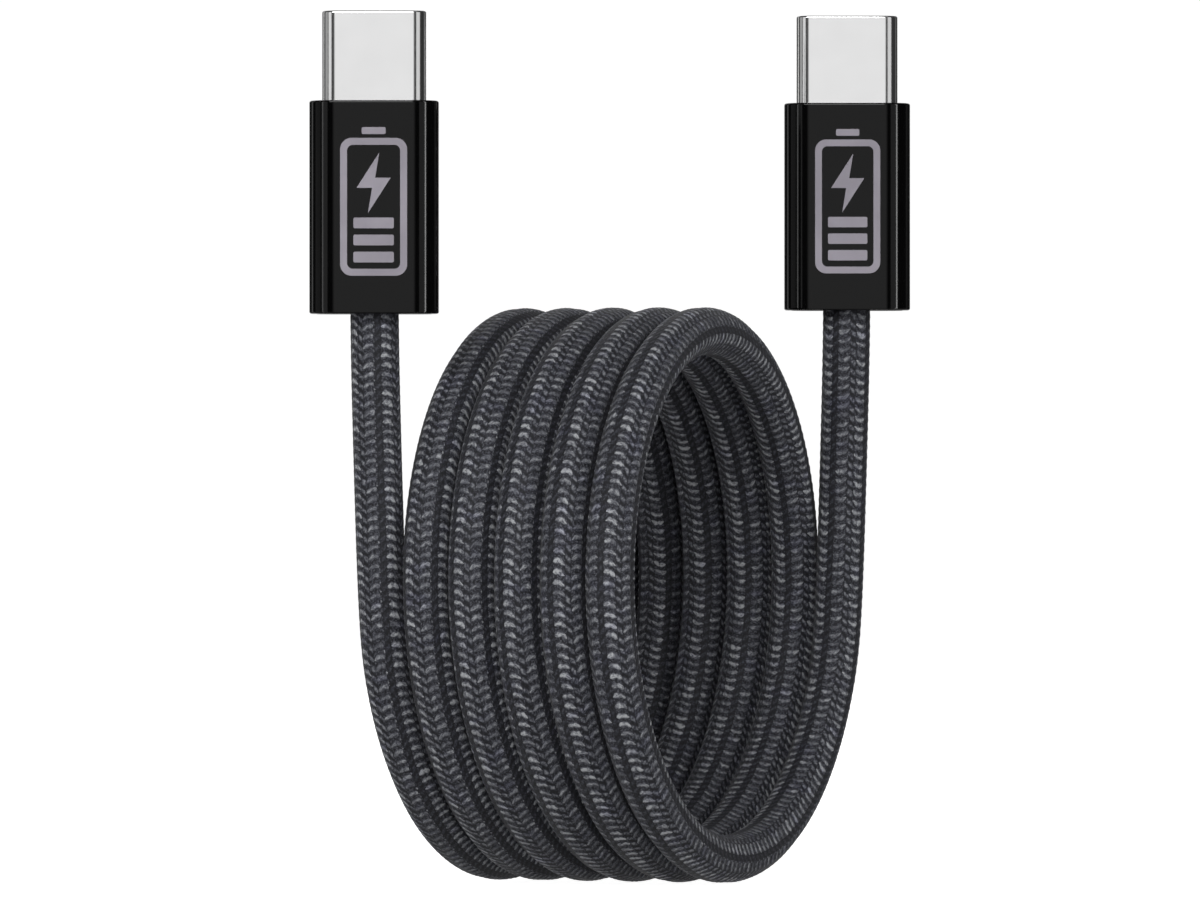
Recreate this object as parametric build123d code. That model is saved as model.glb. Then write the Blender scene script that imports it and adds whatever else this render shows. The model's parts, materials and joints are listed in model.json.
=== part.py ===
from build123d import *
import math
import os

# USB-C to USB-C charging cable, braided, wound into its own self-holding coil.
# The frame is plug A's: the origin is the centre of plug A's front shoulder, where its metal
# shell comes out. +Z points out of the plug's mouth, +X along the plug's width, and the
# broad faces of both plugs look along -Y and +Y. Both plugs stand upright above the coil.
# Sizes are in millimetres.

# --- connector shell, a standard USB-C plug ---
shell_width = 8.25
shell_height = 2.40
shell_end_radius = 1.12
shell_wall = 0.25
shell_reach = 7.15          # how far the shell stands out of the housing
shell_tail = 3.40           # how far it goes back inside the housing
shell_lip_round = 0.11

# --- contact carrier, the plastic block inside the shell ---
carrier_gap = 0.03
carrier_recess = 0.40       # from the shell's mouth back to the carrier's front face
carrier_tail = 2.60
tongue_slot_width = 6.80
tongue_slot_height = 0.84
tongue_slot_depth = 5.40
carrier_front_ring = 1.20   # closed ring left in front of the latch channels

# --- contacts, twelve in each row ---
contact_count = 12
contact_pitch = 0.50
contact_width = 0.24
contact_thickness = 0.12
contact_tip_gap = 1.05      # from the carrier's front face back to a contact's tip
contact_bump = 0.10
contact_bump_length = 1.10
contact_bump_crest = 0.20   # length of the bump's flat crest
contact_tail = 4.20

# --- ground plate between the contact rows ---
mid_plate_width = 5.60
mid_plate_thickness = 0.15

# --- side latches, one on each side of the tongue slot ---
latch_thickness = 0.20
latch_height = 0.60
latch_room = 0.305          # from the shell's inner side to the middle of a latch
latch_pivot_z = -1.20
latch_tip_gap = 0.20        # from a latch's tip to the front ring
latch_hook_reach = 0.30
latch_hook_length = 0.80
latch_hook_crest = 0.08     # length of the hook's flat crest
latch_knuckle_radius = 0.14
latch_clearance = 0.06

# --- grounding springs at the mouth ---
ground_spring_width = 5.60
ground_spring_length = 1.70
ground_spring_thickness = 0.12
ground_spring_inset = 0.25  # from the carrier's front face
ground_finger_count = 4
ground_finger_pitch = 1.40
ground_finger_width = 0.60
ground_finger_length = 0.70
ground_finger_reach = 0.05  # past the slot's face, into the slot

# --- circuit card and chip ---
card_width = 7.00
card_front_gap = 0.30       # behind the carrier
card_length = 7.30
chip_width = 2.20
chip_length = 2.00
chip_thickness = 0.55
chip_bevel = 0.08
chip_z = -6.00

# --- shield can, in two halves ---
can_width = 8.00
can_height = 3.40
can_wall = 0.20
can_length = 8.00
can_rear_hole_radius = 1.42 # where the cores come in

# --- housing and the moulded filling inside it ---
housing_width = 10.27
housing_length = 16.90
housing_corner = 2.20
housing_wall = 0.60
housing_front_wall = 0.80
housing_edge_round = 0.18
shell_opening_gap = 0.02
mould_gap = 0.03
mould_cover = 0.20          # moulding left above and below the crimp
mould_rear_recess = 0.20

# --- cord, its crimp and its cores ---
cord_diameter = 3.90
cord_gap = 0.02             # radial clearance of every hole that the cord passes
crimp_wall = 0.15
crimp_length = 3.20
cord_end_z = -11.60         # the braid ends inside the crimp, behind the shield can
power_core_radius = 0.42
power_core_offset = 0.55    # from the cord's centre line, and the same for the three below
signal_core_radius = 0.25
signal_core_offsets = (-0.93, -0.31, 0.31, 0.93)
power_pad_offset = 2.30
signal_pad_offsets = (-2.30, -0.80, 0.80, 2.30)
core_straight_length = 0.55
core_bend_length = 1.05
core_pad_length = 1.40
core_bend_radius = 0.60

# --- coil and the leads that rise from it ---
coil_radius = 21.15         # to the middle of the cord
coil_turns = 5.5
turn_gap = 0.05
coil_heading = 23.6         # degrees that the coil's axis is turned about Z
trim_length = 0.5           # how far a lead's tube runs on before it is cut level with the coil
trim_block = 3 * cord_diameter
arc_share = 0.45            # of the shorter run, for the arc between two runs of a lead

lead_a_route = [
    (0.0, 0.0, cord_end_z),
    (0.0, 0.0, -18.0),
    (0.28, -0.12, -29.0),
    (0.61, -0.27, -39.3),
]
lead_b_offsets = [          # from the coil's far end up to the cord's end in plug B
    (0.0, 0.0, 0.0),
    (0.33, -0.15, 10.6),
    (0.61, -0.27, 21.9),
    (0.61, -0.27, 28.3),
]

# --- values worked out from those above ---
shell_inner_width = shell_width - 2 * shell_wall
shell_inner_height = shell_height - 2 * shell_wall
shell_inner_radius = shell_end_radius - shell_wall
carrier_width = shell_inner_width - 2 * carrier_gap
carrier_height = shell_inner_height - 2 * carrier_gap
carrier_front = shell_reach - carrier_recess
slot_end = carrier_front - tongue_slot_depth
channel_front = carrier_front - carrier_front_ring
latch_tip = channel_front - latch_tip_gap
latch_offset = shell_inner_width / 2 - latch_room
card_thickness = tongue_slot_height - 2 * contact_thickness
card_front = -carrier_tail - card_front_gap
card_rear = card_front - card_length
can_front = -shell_tail
can_rear = can_front - can_length
cord_radius = cord_diameter / 2
cord_hole_radius = cord_radius + cord_gap
crimp_radius = cord_hole_radius + crimp_wall
crimp_rear = can_rear - crimp_length
housing_height = 2 * (crimp_radius + mould_cover + mould_gap + housing_wall)
coil_pitch = cord_diameter + turn_gap
axis_direction = Vector(math.cos(math.radians(coil_heading)), -math.sin(math.radians(coil_heading)), 0)
far_direction = Vector(math.sin(math.radians(coil_heading)), math.cos(math.radians(coil_heading)), 0)
coil_start = Vector(*lead_a_route[-1])
coil_end = coil_start + axis_direction * (coil_pitch * coil_turns) + far_direction * (2 * coil_radius)
lead_b_route = [coil_end + Vector(*offset) for offset in lead_b_offsets]
plug_b_origin = lead_b_route[-1] - Vector(0, 0, cord_end_z)


def block(x_low, x_high, y_low, y_high, z_low, z_high):
    """A box between two corners."""
    centre = Pos((x_low + x_high) / 2, (y_low + y_high) / 2, (z_low + z_high) / 2)
    return centre * Box(x_high - x_low, y_high - y_low, z_high - z_low)


def oval_bar(width, height, radius, z_low, z_high):
    """A bar along Z whose section is a rounded rectangle."""
    return Pos(0, 0, z_low) * extrude(RectangleRounded(width, height, radius), z_high - z_low)


def round_bar(radius, z_low, z_high):
    """A round bar along Z, on the plug's centre line."""
    return Pos(0, 0, z_low) * extrude(Circle(radius), z_high - z_low)


def tube_along(points, radius):
    """A round tube along straight runs that are joined by tangent arcs, and the arcs' radii."""
    vectors = [Vector(*point) if isinstance(point, tuple) else point for point in points]
    runs = [end - start for start, end in zip(vectors, vectors[1:])]
    radii = []
    for before, after in zip(runs, runs[1:]):
        half_turn = math.radians(before.get_angle(after)) / 2
        radii.append(arc_share * min(before.length, after.length) / math.tan(half_turn))
    path = FilletPolyline(*vectors, radius=radii)
    profile = Plane(origin=vectors[0], z_dir=runs[0]) * Circle(radius)
    tube = sweep(profile, path=path)
    filled = tube.volume / (math.pi * radius ** 2 * path.length)
    return tube, path.length, radii, filled


def make_shell():
    """Drawn metal shell with a rounded lip, open at its mouth and at its tail."""
    outside = oval_bar(shell_width, shell_height, shell_end_radius, -shell_tail, shell_reach)
    inside = oval_bar(shell_inner_width, shell_inner_height, shell_inner_radius, -shell_tail, shell_reach)
    shell = outside - inside
    lip = shell.faces().sort_by(Axis.Z)[-1]
    return fillet(lip.edges(), shell_lip_round)


def make_contact():
    """One lower contact: a flat tail, a straight beam and a raised bump near its tip."""
    face = -tongue_slot_height / 2
    top = face + contact_thickness
    tip = carrier_front - contact_tip_gap
    bump_rear = tip - contact_bump_length
    crest_front = tip - (contact_bump_length - contact_bump_crest) / 2
    with BuildPart() as contact:
        with BuildSketch(Plane.YZ):
            with BuildLine():
                Polyline(
                    (face, -contact_tail),
                    (face, tip),
                    (top, tip),
                    (top + contact_bump, crest_front),
                    (top + contact_bump, crest_front - contact_bump_crest),
                    (top, bump_rear),
                    (top, -contact_tail),
                    close=True,
                )
            make_face()
        extrude(amount=contact_width / 2, both=True)
    return contact.part


def make_contact_row():
    """The lower row of contacts, side by side."""
    contact = make_contact()
    first = -contact_pitch * (contact_count - 1) / 2
    return [Pos(first + contact_pitch * index, 0, 0) * contact for index in range(contact_count)]


def make_mid_plate():
    """Thin ground plate inside the carrier, between the two contact rows."""
    half_width = mid_plate_width / 2
    half_thickness = mid_plate_thickness / 2
    return block(-half_width, half_width, -half_thickness, half_thickness, -carrier_tail, slot_end)


def make_ground_spring():
    """Upper grounding spring: a thin plate whose fingers reach down into the tongue slot."""
    top = carrier_height / 2
    under = top - ground_spring_thickness
    front = carrier_front - ground_spring_inset
    spring = block(
        -ground_spring_width / 2, ground_spring_width / 2, under, top, front - ground_spring_length, front
    )
    finger_low = tongue_slot_height / 2 - ground_finger_reach
    first = -ground_finger_pitch * (ground_finger_count - 1) / 2
    for index in range(ground_finger_count):
        centre = first + ground_finger_pitch * index
        half = ground_finger_width / 2
        spring += block(centre - half, centre + half, finger_low, under, front - ground_finger_length, front)
    return spring


def make_carrier(cut_outs):
    """Plastic block that holds the contacts, with the slot for the socket's tongue."""
    half_slot = tongue_slot_height / 2
    half_width = tongue_slot_width / 2
    carrier = oval_bar(
        carrier_width, carrier_height, shell_inner_radius - carrier_gap, -carrier_tail, carrier_front
    )
    carrier -= block(-half_width, half_width, -half_slot, half_slot, slot_end, carrier_front)
    channel_inside = latch_offset - latch_knuckle_radius - latch_clearance
    channel_rear = latch_pivot_z - latch_knuckle_radius - latch_clearance
    for side in (-1, 1):
        edges = sorted((side * channel_inside, side * carrier_width))
        carrier -= block(edges[0], edges[1], -half_slot, half_slot, channel_rear, channel_front)
    for piece in cut_outs:
        carrier -= piece
    return carrier


def make_latch(side):
    """One side latch: a flat spring arm on a rounded root, with a hook that faces the tongue."""
    middle = side * latch_offset
    half_height = latch_height / 2
    half_thickness = latch_thickness / 2
    hook_low = latch_tip - latch_hook_length
    crest_low = hook_low + (latch_hook_length - latch_hook_crest) / 2
    arm = block(
        middle - half_thickness, middle + half_thickness, -half_height, half_height, latch_pivot_z, latch_tip
    )
    knuckle = Cylinder(latch_knuckle_radius, latch_height, rotation=(90, 0, 0))
    inner = middle - side * half_thickness
    hook_outline = Polyline(
        (inner, hook_low),
        (inner - side * latch_hook_reach, crest_low),
        (inner - side * latch_hook_reach, crest_low + latch_hook_crest),
        (inner, latch_tip),
        close=True,
    )
    hook = extrude(Plane.XZ * make_face(hook_outline), half_height, both=True)
    return arm + Pos(middle, 0, latch_pivot_z) * knuckle + hook


def make_card():
    """Circuit card that the contact tails and the cores are soldered to."""
    half_width = card_width / 2
    half_thickness = card_thickness / 2
    return block(-half_width, half_width, -half_thickness, half_thickness, card_rear, card_front)


def make_chip():
    """Cable marker chip on the card's upper face."""
    base = card_thickness / 2
    half_width = chip_width / 2
    half_length = chip_length / 2
    body = block(
        -half_width, half_width, base, base + chip_thickness, chip_z - half_length, chip_z + half_length
    )
    top = body.faces().sort_by(Axis.Y)[-1]
    return chamfer(top.edges(), chip_bevel)


def make_core(offset, pad_offset, radius, side):
    """One insulated core, from the cord's end to its pad on the card's upper or lower face."""
    height = side * (card_thickness / 2 + radius)
    bend_start = cord_end_z + core_straight_length
    bend_end = bend_start + core_bend_length
    points = [
        (offset, height, cord_end_z),
        (offset, height, bend_start),
        (pad_offset, height, bend_end),
        (pad_offset, height, bend_end + core_pad_length),
    ]
    path = FilletPolyline(*points, radius=core_bend_radius)
    return sweep(Plane(origin=points[0], z_dir=(0, 0, 1)) * Circle(radius), path=path)


def make_can():
    """Shield can around the card, split into an upper and a lower half."""
    half_width = can_width / 2
    half_height = can_height / 2
    outside = block(-half_width, half_width, -half_height, half_height, can_rear, can_front)
    inside = block(
        can_wall - half_width, half_width - can_wall,
        can_wall - half_height, half_height - can_wall,
        can_rear + can_wall, can_front,
    )
    can = outside - inside - round_bar(can_rear_hole_radius, can_rear, can_rear + can_wall)
    upper = can & block(-half_width, half_width, 0, half_height, can_rear, can_front)
    lower = can & block(-half_width, half_width, -half_height, 0, can_rear, can_front)
    return outside, upper, lower


def make_crimp():
    """Metal crimp around the cord's braid, behind the shield can."""
    outside = round_bar(crimp_radius, crimp_rear, can_rear)
    return outside - round_bar(cord_hole_radius, crimp_rear, can_rear)


def make_housing():
    """Gloss outer housing: a sleeve with a front wall that the shell comes out of."""
    outside = oval_bar(housing_width, housing_height, housing_corner, -housing_length, 0)
    rims = outside.faces().sort_by(Axis.Z)
    outside = fillet(rims[0].edges() + rims[-1].edges(), housing_edge_round)
    cavity = oval_bar(
        housing_width - 2 * housing_wall, housing_height - 2 * housing_wall,
        housing_corner - housing_wall, -housing_length, -housing_front_wall,
    )
    opening = oval_bar(
        shell_width + 2 * shell_opening_gap, shell_height + 2 * shell_opening_gap,
        shell_end_radius + shell_opening_gap, -housing_front_wall, 0,
    )
    return outside - cavity - opening


def make_mould(can_outside):
    """Moulded filling that holds the shell, the can and the cord inside the housing."""
    gap = housing_wall + mould_gap
    rear = -housing_length + mould_rear_recess
    mould = oval_bar(
        housing_width - 2 * gap, housing_height - 2 * gap, housing_corner - gap,
        rear, -housing_front_wall - mould_gap,
    )
    mould -= oval_bar(shell_width, shell_height, shell_end_radius, -shell_tail, 0)
    mould -= can_outside
    mould -= round_bar(crimp_radius, crimp_rear, can_rear)
    return mould - round_bar(cord_hole_radius, rear, crimp_rear)


def make_plug():
    """Every piece of one plug, by name, in the plug's own frame."""
    lower_row = make_contact_row()
    upper_row = [Rot(0, 0, 180) * contact for contact in lower_row]
    mid_plate = make_mid_plate()
    upper_spring = make_ground_spring()
    lower_spring = Rot(0, 0, 180) * upper_spring
    can_outside, upper_can, lower_can = make_can()
    signal_cores = [
        make_core(offset, pad_offset, signal_core_radius, -1)
        for offset, pad_offset in zip(signal_core_offsets, signal_pad_offsets)
    ]
    return {
        "shell": make_shell(),
        "contact_carrier": make_carrier(lower_row + upper_row + [mid_plate, upper_spring, lower_spring]),
        "upper_contacts": Compound(children=upper_row),
        "lower_contacts": Compound(children=lower_row),
        "mid_plate": mid_plate,
        "upper_ground_spring": upper_spring,
        "lower_ground_spring": lower_spring,
        "left_latch": make_latch(-1),
        "right_latch": make_latch(1),
        "circuit_card": make_card(),
        "marker_chip": make_chip(),
        "power_core": make_core(-power_core_offset, -power_pad_offset, power_core_radius, 1),
        "ground_core": make_core(power_core_offset, power_pad_offset, power_core_radius, 1),
        "signal_cores": Compound(children=signal_cores),
        "upper_shield_can": upper_can,
        "lower_shield_can": lower_can,
        "cord_crimp": make_crimp(),
        "inner_mould": make_mould(can_outside),
        "housing": make_housing(),
    }


def coil_half(first_turn, slope, whole_turns, z_low, z_high):
    """Upper or lower half of the coil, cut off along the slant of its first and last turns."""
    reach = coil_radius + cord_diameter
    slant = slope * 0.25 * reach / coil_radius
    outline = Polyline(
        (coil_pitch * (first_turn - slant) - cord_radius, -reach),
        (coil_pitch * (first_turn - slant + whole_turns) + cord_radius, -reach),
        (coil_pitch * (first_turn + slant + whole_turns) + cord_radius, reach),
        (coil_pitch * (first_turn + slant) - cord_radius, reach),
        close=True,
    )
    slab = Pos(0, 0, z_low) * extrude(make_face(outline), z_high - z_low)
    ring = Circle(coil_radius + cord_radius) - Circle(coil_radius - cord_radius)
    tube = extrude(Plane.YZ * ring, coil_pitch * (coil_turns + 2), both=True)
    return slab & tube


def make_coil():
    """One closed solid of the coil's outer shape, whose two leads leave it at mid-height."""
    reach = coil_radius + cord_diameter
    lower = coil_half(0.25, 1, coil_turns - 0.5, -reach, 0)
    upper = coil_half(0.75, -1, coil_turns - 1.5, 0, reach)
    centre = coil_start + far_direction * coil_radius
    return Pos(*centre) * Rot(0, 0, -coil_heading) * (lower + upper)


def make_lead(points, name):
    """One straight lead, from the cord's end in its plug down to the coil's flat face."""
    last_run = (points[-1] - points[-2]).normalized()
    longer = points[:-1] + [points[-1] + last_run * trim_length]
    tube, length, radii, filled = tube_along(longer, cord_radius)
    low_end = points[-1]
    below = Pos(low_end.X, low_end.Y, low_end.Z - trim_block / 2) * Box(trim_block, trim_block, trim_block)
    print(name, "length", round(length - trim_length, 2), "radii", [round(r, 1) for r in radii])
    print(name, "volume over section times length", round(filled, 4))
    return tube - below


def main():
    """Make every piece and write one STEP file for each."""
    os.makedirs("parts", exist_ok=True)
    plug = make_plug()
    pieces = {}
    for letter, origin in (("a", Vector(0, 0, 0)), ("b", plug_b_origin)):
        for name, piece in plug.items():
            pieces[f"plug_{letter}_{name}"] = Pos(*origin) * piece
    pieces["coil"] = make_coil()
    pieces["lead_a"] = make_lead([Vector(*point) for point in lead_a_route], "lead_a")
    pieces["lead_b"] = make_lead(lead_b_route[::-1], "lead_b")
    turn_length = math.hypot(2 * math.pi * coil_radius, coil_pitch)
    print("cord in the coil", round(coil_turns * turn_length, 1))
    print("plug B at", [round(value, 3) for value in plug_b_origin])
    for name, piece in pieces.items():
        export_step(piece, f"parts/{name}.step")


main()
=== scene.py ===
"""Studio scene of a braided charging cable that is wound into its own coil.

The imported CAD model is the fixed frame. The cord, the metal shells, the housings and the printed
marks are modelled here around it, and every other CAD piece gets its finish. Lengths are in metres.
"""

import json
import logging
import math
from dataclasses import dataclass, field
from enum import Enum
from typing import Callable, Iterable

import bmesh
import bpy
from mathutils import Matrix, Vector

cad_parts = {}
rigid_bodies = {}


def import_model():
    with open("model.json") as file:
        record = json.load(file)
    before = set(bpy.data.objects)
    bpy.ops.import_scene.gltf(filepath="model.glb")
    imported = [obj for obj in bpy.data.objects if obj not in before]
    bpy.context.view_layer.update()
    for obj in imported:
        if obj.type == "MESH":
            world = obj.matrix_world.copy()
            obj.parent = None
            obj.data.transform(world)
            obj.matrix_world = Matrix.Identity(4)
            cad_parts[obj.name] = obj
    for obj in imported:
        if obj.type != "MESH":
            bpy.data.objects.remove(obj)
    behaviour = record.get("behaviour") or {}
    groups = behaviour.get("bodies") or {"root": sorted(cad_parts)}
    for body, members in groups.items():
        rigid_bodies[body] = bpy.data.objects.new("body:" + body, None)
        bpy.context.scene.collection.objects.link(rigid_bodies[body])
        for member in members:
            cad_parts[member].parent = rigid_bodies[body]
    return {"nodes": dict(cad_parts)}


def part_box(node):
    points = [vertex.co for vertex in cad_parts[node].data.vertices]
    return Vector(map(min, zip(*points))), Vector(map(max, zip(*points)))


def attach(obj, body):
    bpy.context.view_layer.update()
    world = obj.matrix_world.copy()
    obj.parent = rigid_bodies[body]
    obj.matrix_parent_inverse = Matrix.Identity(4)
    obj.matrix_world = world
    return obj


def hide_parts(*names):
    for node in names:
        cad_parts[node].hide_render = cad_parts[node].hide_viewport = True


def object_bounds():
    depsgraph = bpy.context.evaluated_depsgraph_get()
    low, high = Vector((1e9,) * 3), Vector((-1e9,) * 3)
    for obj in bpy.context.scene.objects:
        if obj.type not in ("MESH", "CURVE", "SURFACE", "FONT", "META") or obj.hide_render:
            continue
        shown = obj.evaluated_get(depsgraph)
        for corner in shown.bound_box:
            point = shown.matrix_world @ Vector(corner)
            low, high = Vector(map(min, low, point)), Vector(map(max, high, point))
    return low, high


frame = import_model()
CAD_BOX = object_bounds()

LOG = logging.getLogger("charging_cable")
BODY = "cable"
MM = 0.001
SHARP_ANGLE = math.radians(35)
SAME_PLACE = 1e-7
Colour = tuple[float, float, float]
Pair = tuple[float, float]
Socket = bpy.types.NodeSocket
Material = bpy.types.Material
Piece = bpy.types.Object


class Finish(str, Enum):
    """The names of the finishes that the new pieces take."""

    SHELL = "shell_steel"
    HOUSING = "housing_gloss"
    BRAID = "braid"
    PRINT = "print_ink"


class NodeGraph:
    """A short way to write a node tree."""

    def __init__(self, tree: bpy.types.NodeTree) -> None:
        """Start with the material's or the world's tree, emptied."""
        self.tree = tree
        self.tree.nodes.clear()

    def link(self, source: Socket, target: Socket) -> None:
        """Join one node's output to another's input."""
        self.tree.links.new(source, target)

    def node(self, kind: str, **inputs: object) -> bpy.types.Node:
        """Add a node and fill its inputs.

        Args:
            kind: the node's type name, without its ShaderNode prefix.
            inputs: input name to a value or to another node's output.

        Returns:
            The new node.
        """
        made = self.tree.nodes.new("ShaderNode" + kind)
        for name, value in inputs.items():
            self.feed(made.inputs[name], value)
        return made

    def feed(self, socket: Socket, value: object) -> None:
        """Set a socket, or link it.

        Args:
            socket: the input.
            value: its value, or the output that feeds it.
        """
        if isinstance(value, Socket):
            self.link(value, socket)
        else:
            socket.default_value = value

    def math(self, operation: str, *values: object) -> Socket:
        """Add a Math node.

        Args:
            operation: the Math node's operation.
            values: up to three numbers or outputs.

        Returns:
            The node's output.
        """
        made = self.tree.nodes.new("ShaderNodeMath")
        made.operation = operation
        for socket, value in zip(made.inputs, values):
            self.feed(socket, value)
        return made.outputs[0]

    def times(self, first: object, second: object) -> Socket:
        """The product of two numbers."""
        return self.math("MULTIPLY", first, second)

    def lift(self, value: object, line: Pair) -> Socket:
        """A number on a straight line, which is given as its slope and its start."""
        return self.math("MULTIPLY_ADD", value, *line)

    def size(self, value: object) -> Socket:
        """A number without its sign."""
        return self.math("ABSOLUTE", value)

    def blend(self, factor: object, low: object, high: object) -> Socket:
        """Mix two numbers.

        Args:
            factor: 0 for the first, 1 for the second.
            low: the first number or output.
            high: the second number or output.

        Returns:
            The mixed output.
        """
        made = self.tree.nodes.new("ShaderNodeMix")
        self.feed(made.inputs[0], factor)
        self.feed(made.inputs[2], low)
        self.feed(made.inputs[3], high)
        return made.outputs[0]

    def smooth(self, value: object, low: float, high: float) -> Socket:
        """Rise smoothly from 0 to 1. With low above high, it falls instead.

        Args:
            value: the number or output.
            low: where it is 0.
            high: where it is 1.

        Returns:
            The smoothed output.
        """
        made = self.tree.nodes.new("ShaderNodeMapRange")
        made.interpolation_type = "SMOOTHSTEP"
        self.feed(made.inputs[0], value)
        made.inputs[1].default_value = low
        made.inputs[2].default_value = high
        return made.outputs[0]

    def ramp(self, value: object, stops: Iterable[tuple[float, Colour]]) -> Socket:
        """Colour a number by a ramp.

        Args:
            value: the number or output.
            stops: position and colour of each stop, in order.

        Returns:
            The ramp's colour output.
        """
        made = self.tree.nodes.new("ShaderNodeValToRGB")
        self.feed(made.inputs[0], value)
        stops = list(stops)
        elements = made.color_ramp.elements
        while len(elements) < len(stops):
            elements.new(1.0)
        for element, (place, colour) in zip(elements, stops):
            element.position = place
            element.color = (*colour, 1.0)
        return made.outputs[0]


class SurfaceGraph(NodeGraph):
    """A material's node tree, with its Principled shader."""

    def __init__(self, name: str) -> None:
        """Start a material with its shader wired to its output.

        Args:
            name: the material's name.
        """
        self.material = bpy.data.materials.new(name)
        self.material.use_nodes = True
        super().__init__(self.material.node_tree)
        self.shader = self.node("BsdfPrincipled")
        self.node("OutputMaterial", Surface=self.shader.outputs[0])

    def fill(self, **inputs: object) -> None:
        """Set or link the shader's inputs, whose names are written with _ for a space."""
        for name, value in inputs.items():
            self.feed(self.shader.inputs[name.replace("_", " ")], value)

    def object_place(self, scale: tuple[float, float, float] = (1.0, 1.0, 1.0)) -> Socket:
        """Object coordinates, stretched by a scale."""
        place = self.node("TexCoord")
        return self.node("Mapping", Vector=place.outputs["Object"], Scale=scale).outputs[0]

    def noise(self, scale: float, detail: float, vector: Socket) -> Socket:
        """A cloudy pattern's value, 0 to 1."""
        return self.node("TexNoise", Vector=vector, Scale=scale, Detail=detail).outputs[0]

    def bump(self, height: object, distance: float, strength: float = 1.0) -> None:
        """Wire a height of 0 to 1 to the shader's normal. A height of 1 stands for the distance."""
        made = self.node("Bump", Height=height, Distance=distance, Strength=strength)
        self.fill(Normal=made.outputs[0])


@dataclass(frozen=True)
class Plastic:
    """A moulded plastic, from matt to gloss, with a faint unevenness in its skin."""

    name: str
    colour: Colour
    rough_low: float
    rough_high: float
    ior: float = 1.46
    grain_scale: float = 2600.0
    grain_depth: float = 4e-6
    haze_scale: float = 240.0
    haze_ends: Pair = (0.35, 0.65)
    darker: float = 0.82

    def make(self) -> Material:
        """Build the material.

        Returns:
            The new material.
        """
        graph = SurfaceGraph(self.name)
        skin = graph.noise(self.grain_scale, 3.0, graph.object_place())
        haze = graph.noise(self.haze_scale, 4.0, graph.object_place())
        dark = tuple(self.darker * share for share in self.colour)
        colour = graph.ramp(haze, zip(self.haze_ends, (dark, self.colour)))
        rough = graph.blend(haze, self.rough_low, self.rough_high)
        graph.fill(Base_Color=colour, Roughness=rough, IOR=self.ior)
        graph.bump(skin, self.grain_depth)
        return graph.material


@dataclass(frozen=True)
class Metal:
    """A plated or drawn metal with fine lines along one direction."""

    name: str
    colour: Colour
    rough_low: float
    rough_high: float
    line_scale: tuple[float, float, float] = (7000.0, 7000.0, 40.0)
    line_depth: float = 4e-7
    patch_scale: float = 420.0
    patch_ends: Pair = (0.3, 0.7)
    duller: float = 0.965

    def make(self) -> Material:
        """Build the material.

        Returns:
            The new material.
        """
        graph = SurfaceGraph(self.name)
        lines = graph.noise(1.0, 3.0, graph.object_place(self.line_scale))
        patches = graph.noise(self.patch_scale, 3.0, graph.object_place())
        dull = tuple(self.duller * share for share in self.colour)
        colour = graph.ramp(patches, zip(self.patch_ends, (dull, self.colour)))
        rough = graph.blend(lines, self.rough_low, self.rough_high)
        graph.fill(Base_Color=colour, Metallic=1.0, Roughness=rough)
        graph.bump(lines, self.line_depth)
        return graph.material


@dataclass(frozen=True)
class Weave:
    """How the yarns lie on the cord, in rows along it and column pairs around it.

    A pair is one wide column of lens-shaped stitches and one narrow column beside it. The narrow
    ones are by turns a pale chain and a dark channel with a small tick in each row.
    """

    row: float = 0.76 * MM
    pairs: int = 8
    wide_share: float = 0.66
    arch: float = 0.20
    slant: float = 0.15
    stagger: float = 0.43
    colour_repeat: int = 5

    def stitch_phase(self, row: float, pair: float) -> tuple[float, float]:
        """Where a point lies on its wide column's stitches.

        Args:
            row: the place along the cord, in rows.
            pair: the place around the cord, in pairs.

        Returns:
            The phase along the stitches, and the place across the column, -1 to 1.
        """
        index = math.floor(pair)
        across = (pair - index) / self.wide_share * 2.0 - 1.0
        lean = self.slant if index % 2 else -self.slant
        crown = max(0.0, 1.0 - across * across)
        return row + self.stagger * index + lean * across + self.arch * crown, across


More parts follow.
